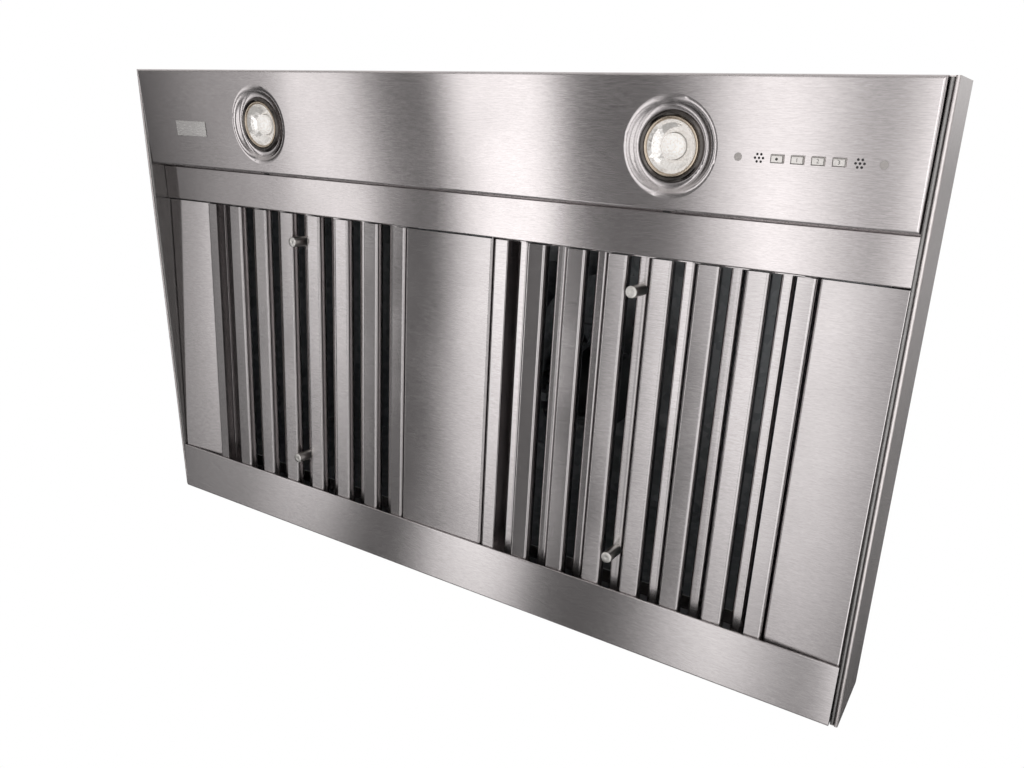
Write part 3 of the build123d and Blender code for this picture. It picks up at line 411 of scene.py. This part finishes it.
def turned_steel():
    """Stainless rod turned on a lathe: fine rings round the axis of the piece, 0.5 mm apart so
    that they show."""
    material, tree, shader = new_material("turned_stainless", Metallic=1.0, Anisotropic=0.5)
    place = add(tree, "ShaderNodeTexCoord").outputs["Object"]
    rings = add(
        tree,
        "ShaderNodeTexWave",
        {"Vector": place, "Scale": 0.314 / (0.5 * MM), "Distortion": 0.6, "Detail": 2.0},
        wave_type="RINGS",
        rings_direction="Z",
    ).outputs["Fac"]
    colour = add(
        tree,
        "ShaderNodeMix",
        {"Factor": rings, "A": linear("b9b6b2"), "B": linear("d6d3cf")},
        data_type="RGBA",
    )
    tree.links.new(colour.outputs["Result"], shader.inputs["Base Color"])
    gloss = add(tree, "ShaderNodeMapRange", {"Value": rings, "To Min": 0.22, "To Max": 0.34})
    tree.links.new(gloss.outputs["Result"], shader.inputs["Roughness"])
    relief = add(
        tree, "ShaderNodeBump", {"Height": rings, "Strength": 0.25, "Distance": 0.05 * MM}
    )
    tree.links.new(relief.outputs["Normal"], shader.inputs["Normal"])
    return material


# Brushed sheets differ in brightness and lean, as sheets from different folds do; the end walls' far
# darker colour is painted shade.
PANEL_STEEL = brushed_steel("brushed_stainless_panel", 0, 1)
MID_BAND_STEEL = brushed_steel("brushed_stainless_mid_band", 0, 1)
REAR_BAND_STEEL = brushed_steel(
    "brushed_stainless_rear_band", 0, 1, dark="afaaaa", light="c3bebe", nod=-0.08
)
SKIRT_STEEL = brushed_steel("brushed_stainless_skirt", 1, 2, dark="b3adac", light="c8c1c0")
# Painted shade: the end walls' steel is coloured far darker than the other sheets.
SHADED_END_WALL_STEEL = brushed_steel(
    "brushed_stainless_end_wall_painted_shade", 1, 2, dark="6f6d6c", light="878584", roughness=(0.2, 0.24)
)
FILLER_STEEL = brushed_steel("brushed_stainless_filler", 0, 1, dark="a6a1a1", light="bab5b5")
LEFT_FILLER_STEEL = brushed_steel(
    "brushed_stainless_left_filler", 0, 1, dark="a6a1a1", light="bab5b5", list_right=0.03
)
FILTER_STEEL = brushed_steel(
    "brushed_stainless_filter",
    0,
    1,
    dark="aea9a9",
    light="c1bcbc",
    wave=(60, 0.008),
    twist=True,
    nod=0.04,
)
# The bare plate is rougher than the panel, so it reads as a piece of its own.
PLATE_STEEL = brushed_steel(
    "brushed_plate",
    0,
    1,
    dark="aaa7a5",
    light="c9c6c4",
    roughness=(0.24, 0.28),
    list_right=0.06,
)
TURNED_STEEL = turned_steel()
ZINC = galvanised_sheet()
# Stamped keys with a satin face: softer and a little darker than the panel round them.
KEY_STEEL = mottled(
    "satin_stainless_key", "b4b0ad", "c9c5c2", 1.5 * MM, 0.2, 0.28, Metallic=1.0
)
# Plated screws, rod and shaft: cool grey with a soft gloss.
SCREW_ZINC = mottled("bright_zinc_plate", "b0b2b4", "c6c8ca", 2 * MM, 0.22, 0.34, Metallic=1.0)
# Moulded plastic with a fine spark texture, which breaks up the light on it.
BLACK_ABS = mottled("black_moulded_abs", "0d0d0e", "17171a", 0.8 * MM, 0.42, 0.55, bump=0.1)
# Baked enamel on the motor can: deep black with an even sheen.
BLACK_PAINT = mottled("black_motor_enamel", "101012", "1b1b1e", 4 * MM, 0.3, 0.42)
# Blackened clips in the seam: dull dark metal.
BLACK_SPRING = mottled(
    "blackened_spring_steel", "19191a", "262627", 1 * MM, 0.35, 0.5, Metallic=0.6
)
# Glazed lamp sockets: warm white with a clear gloss.
CERAMIC = mottled("glazed_ceramic", "d9d6cd", "e6e3da", 5 * MM, 0.18, 0.26)
# Solder mask on the board: dark green with a plastic shine.
BOARD = mottled("green_solder_mask", "0c3a22", "125030", 3 * MM, 0.28, 0.4)
# Milky windows over the indicators: flat grey dots beside the bright steel.
WINDOW = mottled("translucent_polycarbonate", "9a9593", "bcb7b5", 0.8 * MM, 0.3, 0.45)
# Paint in the keys' marks: dark and matt, so the marks can be read.
ENGRAVING = mottled("dark_engraving_fill", "3a3938", "4a4947", 0.5 * MM, 0.5, 0.6)
# Polished plating of the bezels, coloured dark as painted shade and painted dark reflection: a dark
# ring with sharp thin lights.
SHADED_CHROME = mottled("chrome_painted_dark", "4b4846", "5c5855", 4 * MM, 0.07, 0.14, Metallic=1.0)
# Plated rim of the lamp: a thin warm line round the glass.
NICKEL = mottled("warm_nickel", "b5a696", "c8baa9", 3 * MM, 0.12, 0.22, Metallic=1.0)
# Painted light: the lamp glass is given a faint glow of its own, so it looks brighter than what it
# mirrors.
LAMP_PAINTED_GLOW = {"Emission Color": linear("fffaf4"), "Emission Strength": 0.22}
# Faceted glass over a metal coat: hard small lights beside grey facets, with the painted glow.
LAMP_MIRROR = mottled(
    "faceted_lamp_glass_painted_glow", "8f8780", "ffffff", 0.9 * MM, 0.04, 0.16, Metallic=0.7, **LAMP_PAINTED_GLOW
)
# Frosted cap in the middle: soft white with a fine grain, and the painted glow.
LAMP_FROST = mottled(
    "frosted_lamp_glass_painted_glow", "cfcac5", "ffffff", 1.6 * MM, 0.12, 0.3, bump=0.35, **LAMP_PAINTED_GLOW
)
# White coated back of the lamp.
LAMP_SHELL = mottled("white_lamp_shell", "cfccc6", "dedbd5", 4 * MM, 0.3, 0.4)
# Painted studio floor: pale, matt and slightly uneven.
FLOOR = mottled(
    "pale_studio_floor", "f1efed", "f5f3f1", 400 * MM, 0.6, 0.7, Specular_IOR_Level=0.0
)

CAD_FINISHES = {
    "front_control_panel": PANEL_STEEL,
    "mid_band": MID_BAND_STEEL,
    "rear_band": REAR_BAND_STEEL,
    "centre_panel": FILLER_STEEL,
    "left_filler": LEFT_FILLER_STEEL,
    "right_filler": FILLER_STEEL,
    "badge_plate": PLATE_STEEL,
    "seam_tabs": BLACK_SPRING,
    "control_housing": BLACK_ABS,
    "control_board": BOARD,
    "sensor_capsules": BLACK_ABS,
    "indicator_windows": WINDOW,
    "lamp_sockets": CERAMIC,
    "housing_screws": SCREW_ZINC,
    "damper_rod": SCREW_ZINC,
    "motor_shaft": SCREW_ZINC,
    "motor": BLACK_PAINT,
}
for side in SIDES:
    CAD_FINISHES[f"{side}_skirt"] = SKIRT_STEEL
    CAD_FINISHES[f"{side}_end_wall"] = SHADED_END_WALL_STEEL
    for piece in ("rails", "end_plates", "front_baffles", "rear_baffles"):
        CAD_FINISHES[f"{side}_filter_{piece}"] = FILTER_STEEL
    CAD_FINISHES[f"{side}_filter_screws"] = SCREW_ZINC
    CAD_FINISHES[f"{side}_lamp_bezel"] = SHADED_CHROME
for button in BUTTONS:
    CAD_FINISHES[button] = KEY_STEEL

# All other nodes are zinc-coated sheet: the housing, the duct and the blower.
for node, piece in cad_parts.items():
    finish = CAD_FINISHES.get(node, ZINC)
    if not piece.material_slots:
        piece.data.materials.append(finish)
    for material_slot in piece.material_slots:
        material_slot.material = finish


# ---- meshes ----
def mesh_piece(name, work, place, material, smooth=True):
    """Object made from a bmesh, in its own axes at the given place."""
    mesh = bpy.data.meshes.new(name)
    bmesh.ops.recalc_face_normals(work, faces=work.faces)
    work.to_mesh(mesh)
    work.free()
    for polygon in mesh.polygons:
        polygon.use_smooth = smooth
    piece = bpy.data.objects.new(name, mesh)
    bpy.context.scene.collection.objects.link(piece)
    piece.matrix_world = place
    mesh.materials.append(material)
    return piece


def lathe(outline, segments=TURN_SEGMENTS):
    """Closed body turned about Z from (radius, height) points; points with no radius close an
    end."""
    work = bmesh.new()
    rings = []
    for radius, height in outline:
        if radius == 0:
            rings.append([work.verts.new((0, 0, height))])
            continue
        turns = [2 * pi * i / segments for i in range(segments)]
        rings.append([work.verts.new((radius * cos(t), radius * sin(t), height)) for t in turns])
    for lower, upper in zip(rings, rings[1:] + rings[:1]):
        for i in range(segments):
            corners = []
            for ring, index in ((lower, i), (lower, i + 1), (upper, i + 1), (upper, i)):
                corner = ring[index % len(ring)]
                if corner not in corners:
                    corners.append(corner)
            if len(corners) > 2:
                work.faces.new(corners)
    return work


def mark_sharp(piece):
    """Sharp edges stay crisp under smooth shading."""
    work = bmesh.new()
    work.from_mesh(piece.data)
    for edge in work.edges:
        edge.smooth = len(edge.link_faces) == 2 and edge.calc_face_angle(0) < SHARP_ANGLE
    work.to_mesh(piece.data)
    work.free()


def hold(piece, body, slot, *nodes):
    """The piece rides on a body and stands for these nodes, which are hidden. The slot is not used."""
    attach(piece, body)
    if nodes:
        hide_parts(*nodes)


# ---- filter knobs ----
def knob(name, place):
    """Turned post with a bevelled end and a shallow centre mark from the lathe."""
    outline = [
        (0, KNOB_TOP),
        (KNOB_R, KNOB_TOP),
        (KNOB_R, KNOB_BEVEL - KNOB_REACH),
        (KNOB_R - KNOB_BEVEL * 0.4, KNOB_BEVEL * 0.3 - KNOB_REACH),
        (KNOB_R - KNOB_BEVEL, -KNOB_REACH),
        (KNOB_DIMPLE_R, -KNOB_REACH),
        (0, KNOB_DIMPLE_DEPTH - KNOB_REACH),
    ]
    piece = mesh_piece(name, lathe(outline, SMALL_TURN_SEGMENTS), place, TURNED_STEEL)
    mark_sharp(piece)
    return piece


for side, sign in SIDES.items():
    for count, distance in enumerate(KNOB_RUNS, start=1):
        along = (distance - TROUGH_RUN) / cos(SEAT_SLOPE)
        place = SEAT_PLANE @ Matrix.Translation((sign * FILTER_X, along, 0))
        piece = knob(f"{side}_knob_{count}", place)
        hold(piece, f"{side}_filter", "turned_steel", f"{side}_filter_knobs")


# ---- lamps ----
def above_lens(outline):
    """Outline with its heights taken from the panel's plane."""
    return [(radius, LENS_LEVEL + height) for radius, height in outline]


def reflector():
    """Faceted bowl between the rim and the cap of the lamp, with every second ring of corners
    turned by half a facet."""
    work = bmesh.new()
    rings = []
    for step in range(REFLECTOR_STEPS + 1):
        share = step / REFLECTOR_STEPS
        radius = REFLECTOR_R + (CAP_R + CAP_GAP - REFLECTOR_R) * share
        rise = REFLECTOR_EDGE + REFLECTOR_DEPTH * share ** REFLECTOR_CURVE
        shift = 0.5 * (step % 2)
        turns = [2 * pi * (i + shift) / FACET_COUNT for i in range(FACET_COUNT)]
        rings.append(
            [work.verts.new((radius * cos(t), radius * sin(t), LENS_LEVEL + rise)) for t in turns]
        )
    for step, (outer, inner) in enumerate(zip(rings, rings[1:])):
        for i in range(FACET_COUNT):
            j = (i + 1) % FACET_COUNT
            if step % 2:
                work.faces.new((outer[i], outer[j], inner[j]))
                work.faces.new((outer[i], inner[j], inner[i]))
            else:
                work.faces.new((outer[i], outer[j], inner[i]))
                work.faces.new((outer[j], inner[j], inner[i]))
    return work


def pin(x):
    """Mesh of one contact pin at a distance from the lamp's axis."""
    work = lathe(
        [
            (0, LAMP_TOP - LAMP_PIN_ROOT),
            (LAMP_PIN_R, LAMP_TOP - LAMP_PIN_ROOT),
            (LAMP_PIN_R, LAMP_TOP + LAMP_PIN_LENGTH),
            (0, LAMP_TOP + LAMP_PIN_LENGTH),
        ],
        PIN_SEGMENTS,
    )
    bmesh.ops.translate(work, verts=work.verts, vec=(x, 0, 0))
    mesh = bpy.data.meshes.new("pin")
    work.to_mesh(mesh)
    work.free()
    return mesh


def shell():
    """Back of the lamp: a cone down to a neck with two contact pins."""
    shoulder = LAMP_TOP - LAMP_NECK_LENGTH
    work = lathe(
        [
            (RIM_R, LENS_LEVEL + RIM_DEPTH),
            (RIM_R, LENS_LEVEL + SHELL_EDGE),
            (LAMP_NECK_R, shoulder),
            (LAMP_NECK_R, LAMP_TOP),
            (0, LAMP_TOP),
            (0, shoulder),
            (LAMP_NECK_R - SHELL_WALL, shoulder - SHELL_WALL),
            (REFLECTOR_R, LENS_LEVEL + RIM_DEPTH),
        ]
    )
    for x in (-LAMP_PIN_OFFSET, LAMP_PIN_OFFSET):
        work.from_mesh(pin(x))
    return work


for side, sign in SIDES.items():
    place = PANEL_PLANE @ Matrix.Translation((sign * LAMP_X, LAMP_Y, 0))
    piece = mesh_piece(f"{side}_lamp_rim", lathe(above_lens(RIM_OUTLINE)), place, NICKEL)
    hold(piece, BODY, "lamp_glass", f"{side}_lamp_lens")
    piece = mesh_piece(f"{side}_lamp_facets", reflector(), place, LAMP_MIRROR, smooth=False)
    hold(piece, BODY, "lamp_glass")
    cap = lathe(above_lens(CAP_OUTLINE), SMALL_TURN_SEGMENTS)
    piece = mesh_piece(f"{side}_lamp_cap", cap, place, LAMP_FROST)
    hold(piece, BODY, "lamp_glass")
    piece = mesh_piece(f"{side}_lamp_shell", shell(), place, LAMP_SHELL)
    mark_sharp(piece)
    hold(piece, BODY, "lamp_reflector", f"{side}_lamp_body")


# ---- marks on the buttons ----
def dot(name, place):
    """Thin round mark."""
    outline = [(0, MARK_PROUD), (DOT_R, MARK_PROUD), (DOT_R, -MARK_PROUD), (0, -MARK_PROUD)]
    return mesh_piece(name, lathe(outline, DOT_SEGMENTS), place, ENGRAVING)


def digit(name, text, place):
    """Thin numeral made into a mesh."""
    curve = bpy.data.curves.new(name, "FONT")
    curve.body = text
    curve.size = DIGIT_SIZE
    curve.align_x = "CENTER"
    curve.align_y = "CENTER"
    curve.extrude = MARK_PROUD
    source = bpy.data.objects.new(name + "_curve", curve)
    mesh = bpy.data.meshes.new_from_object(source)
    bpy.data.objects.remove(source)
    piece = bpy.data.objects.new(name, mesh)
    bpy.context.scene.collection.objects.link(piece)
    piece.matrix_world = place
    mesh.materials.clear()
    mesh.materials.append(ENGRAVING)
    return piece


FACE_DOWN = Matrix.Rotation(pi, 4, "X")
for index, button in enumerate(BUTTONS):
    x = CONTROL_X + (index - (len(BUTTONS) - 1) / 2) * BUTTON_PITCH
    place = PANEL_PLANE @ Matrix.Translation((x, CONTROL_Y, -BUTTON_PROUD)) @ FACE_DOWN
    name = f"{button}_mark"
    mark = digit(name, str(index), place) if index else dot(name, place)
    hold(mark, button, "button_steel")


# ---- studio ----
FLOOR_LEVEL = -1.4
FLOOR_REACH = 12
RIG_LEVEL = -1.3
NEAR_LEVEL = -0.45
FLAG_LEVEL = 3.0
STRIP_TURN = -0.09
SKY_ON_OBJECT = 0.55
SKY_SEEN = 1.0

# Strip softboxes below the object, which the steel mirrors as bright bands: left and right end,
# share of the width that fades, front and rear end, front and rear fade, level, strength.
STRIPS = (
    (-2.35, -1.00, 1.00, -1.3, 1.30, 1.3, 1.25, RIG_LEVEL, 0.62),
    (-1.60, -1.17, 0.45, -1.3, 1.25, 1.3, 1.2, RIG_LEVEL + 0.01, 1.15),
    (-0.95, -0.50, 0.60, -1.3, 1.60, 1.3, 1.5, RIG_LEVEL + 0.02, 2.10),
    (-0.27, 0.26, 1.00, -1.3, 1.60, 1.3, 1.5, RIG_LEVEL + 0.03, 1.65),
    (-0.50, 0.85, 1.00, -1.3, 1.60, 1.3, 1.5, RIG_LEVEL + 0.04, 0.34),
    (0.22, 0.85, 0.30, -1.3, 1.60, 1.3, 1.5, RIG_LEVEL + 0.05, 1.20),
    (0.37, 1.25, 0.30, -1.0, 0.80, 0.4, 0.4, NEAR_LEVEL, 1.40),
)


def card(name, low, high, level, material, turn=0.0):
    """Flat rectangle between two (x, y) corners that faces up, turned about its middle."""
    work = bmesh.new()
    bmesh.ops.create_grid(work, x_segments=1, y_segments=1, size=0.5)
    bmesh.ops.scale(work, vec=(high[0] - low[0], high[1] - low[1], 1), verts=work.verts)
    middle = ((low[0] + high[0]) / 2, (low[1] + high[1]) / 2, level)
    place = Matrix.Translation(middle) @ Matrix.Rotation(turn, 4, "Z")
    piece = mesh_piece(name, work, place, material, smooth=False)
    return piece


def for_reflections_only(piece):
    """The metal mirrors the card, and nothing else sees it."""
    piece.visible_camera = False
    piece.visible_diffuse = False
    piece.visible_shadow = False


def emission(name):
    """Empty node tree of a material for a lit card, and the card's own 0..1 coordinates."""
    material = bpy.data.materials.new(name)
    material.use_nodes = True
    tree = material.node_tree
    tree.nodes.clear()
    place = add(tree, "ShaderNodeTexCoord").outputs["Generated"]
    axes = add(tree, "ShaderNodeSeparateXYZ", {"Vector": place}).outputs
    return material, tree, axes


def strip_diffuser(name, strength, size, fade, front_fade, rear_fade):
    """Cloth of a strip softbox, full in the middle: its left and right ends fade out over a share
    of the width, and its front and rear ends over a length in metres. It is lit on its upper side
    only, and the cards behind it show through."""
    material, tree, axes = emission(name)
    power = strength
    fades = (
        ("X", fade / 2, fade / 2),
        ("Y", front_fade / size[1], rear_fade / size[1]),
    )
    for axis, low, high in fades:
        for start, stop in ((0.0, low), (1.0, 1.0 - high)):
            edge = add(
                tree,
                "ShaderNodeMapRange",
                {"Value": axes[axis], "From Min": start, "From Max": stop},
                interpolation_type="SMOOTHSTEP",
            ).outputs["Result"]
            power = add(
                tree, "ShaderNodeMath", {0: power, 1: edge}, operation="MULTIPLY"
            ).outputs[0]
    back = add(tree, "ShaderNodeNewGeometry").outputs["Backfacing"]
    front = add(tree, "ShaderNodeMath", {0: 1.0, 1: back}, operation="SUBTRACT").outputs[0]
    power = add(tree, "ShaderNodeMath", {0: power, 1: front}, operation="MULTIPLY").outputs[0]
    glow = add(tree, "ShaderNodeEmission", {"Color": (1, 1, 1, 1), "Strength": power})
    clear = add(tree, "ShaderNodeBsdfTransparent")
    both = add(tree, "ShaderNodeAddShader", {0: glow.outputs[0], 1: clear.outputs[0]})
    add(tree, "ShaderNodeOutputMaterial", {"Surface": both.outputs[0]})
    return material


def graded_card(name, low, high, level, axis, *stops):
    """Card between two corners whose brightness runs through (place in metres, strength) stops
    along an axis."""
    material, tree, axes = emission(name + "_cloth")
    start, end = (corner["XY".index(axis)] for corner in (low, high))
    ramp = add(tree, "ShaderNodeValToRGB", {"Fac": axes[axis]})
    ramp.color_ramp.interpolation = "EASE"
    steps = ramp.color_ramp.elements
    while len(steps) < len(stops):
        steps.new(1.0)
    for step, (place, strength) in zip(steps, stops):
        step.position = (place - start) / (end - start)
        step.color = (strength, strength, strength, 1)
    glow = add(tree, "ShaderNodeEmission", {"Color": ramp.outputs["Color"], "Strength": 1.0})
    add(tree, "ShaderNodeOutputMaterial", {"Surface": glow.outputs[0]})
    for_reflections_only(card(name, low, high, level, material))


def area_lamp(name, place, size, power):
    """Square softbox that faces the object and lights its matt parts."""
    data = bpy.data.lights.new(name, "AREA")
    data.shape = "RECTANGLE"
    data.size = data.size_y = size
    data.energy = power
    lamp = bpy.data.objects.new(name, data)
    bpy.context.scene.collection.objects.link(lamp)
    lamp.location = place
    lamp.rotation_euler = (-Vector(place)).to_track_quat("-Z", "Y").to_euler()
    lamp.visible_camera = False
    lamp.visible_glossy = False  # the sheet metal would mirror it as a bare white patch


def white_sky():
    """White all round, at full strength where it is seen and dimmer where it only lights."""
    world = bpy.data.worlds.new("studio")
    bpy.context.scene.world = world
    world.use_nodes = True
    tree = world.node_tree
    tree.nodes.clear()
    rays = add(tree, "ShaderNodeLightPath").outputs
    seen = rays["Is Camera Ray"]
    for ray in ("Is Glossy Ray", "Is Transmission Ray"):
        seen = add(tree, "ShaderNodeMath", {0: seen, 1: rays[ray]}, operation="MAXIMUM").outputs[0]
    strength = add(
        tree, "ShaderNodeMapRange", {"Value": seen, "To Min": SKY_ON_OBJECT, "To Max": SKY_SEEN}
    ).outputs["Result"]
    sky = add(tree, "ShaderNodeBackground", {"Color": (1, 1, 1, 1), "Strength": strength})
    add(tree, "ShaderNodeOutputWorld", {"Surface": sky.outputs[0]})


for count, strip in enumerate(STRIPS):
    left, right, fade, front, rear, front_fade, rear_fade, level, strength = strip
    size = (right - left, rear - front)
    glow = strip_diffuser(f"strip_diffuser_{count}", strength, size, fade, front_fade, rear_fade)
    turn = STRIP_TURN if level < NEAR_LEVEL else 0.0
    softbox = card(f"strip_softbox_{count}", (left, front), (right, rear), level, glow, turn)
    for_reflections_only(softbox)

# Dark cloth under the strips, which the steel mirrors between them, and one over the right side.
graded_card(
    "flag", (-12.0, -1.2), (5.0, 9.0), RIG_LEVEL - 0.04, "X",
    (-12.0, 0.06), (-3.2, 0.08), (-1.5, 0.15), (0.3, 0.15), (1.0, 0.05), (5.0, 0.05),
)
graded_card(
    "side_flag", (0.48, -0.5), (9.0, 12.0), FLAG_LEVEL, "Y",
    (-0.5, 0.86), (0.03, 0.47), (1.36, 0.22), (2.6, 0.10), (4.6, 0.06), (12.0, 0.06),
)
card("floor", (-FLOOR_REACH, -FLOOR_REACH), (FLOOR_REACH, FLOOR_REACH), FLOOR_LEVEL, FLOOR)
area_lamp("top_softbox", (-1.2, -1.6, 2.4), 2.0, 60)
area_lamp("low_fill", (1.4, -1.4, -1.1), 1.2, 12)
white_sky()

camera_data = bpy.data.cameras.new("camera")
camera_data.sensor_width = SENSOR
camera_data.lens = LENS
camera_data.shift_x = SHIFT_X
camera_data.shift_y = SHIFT_Y
camera_data.clip_end = CAMERA_REACH
camera = bpy.data.objects.new("camera", camera_data)
bpy.context.scene.collection.objects.link(camera)
turn = Matrix((CAMERA_RIGHT, CAMERA_UP, CAMERA_BACK)).transposed().to_4x4()
camera.matrix_world = Matrix.Translation(CAMERA_PLACE) @ turn
bpy.context.scene.camera = camera
bpy.context.scene.view_settings.view_transform = "Standard"
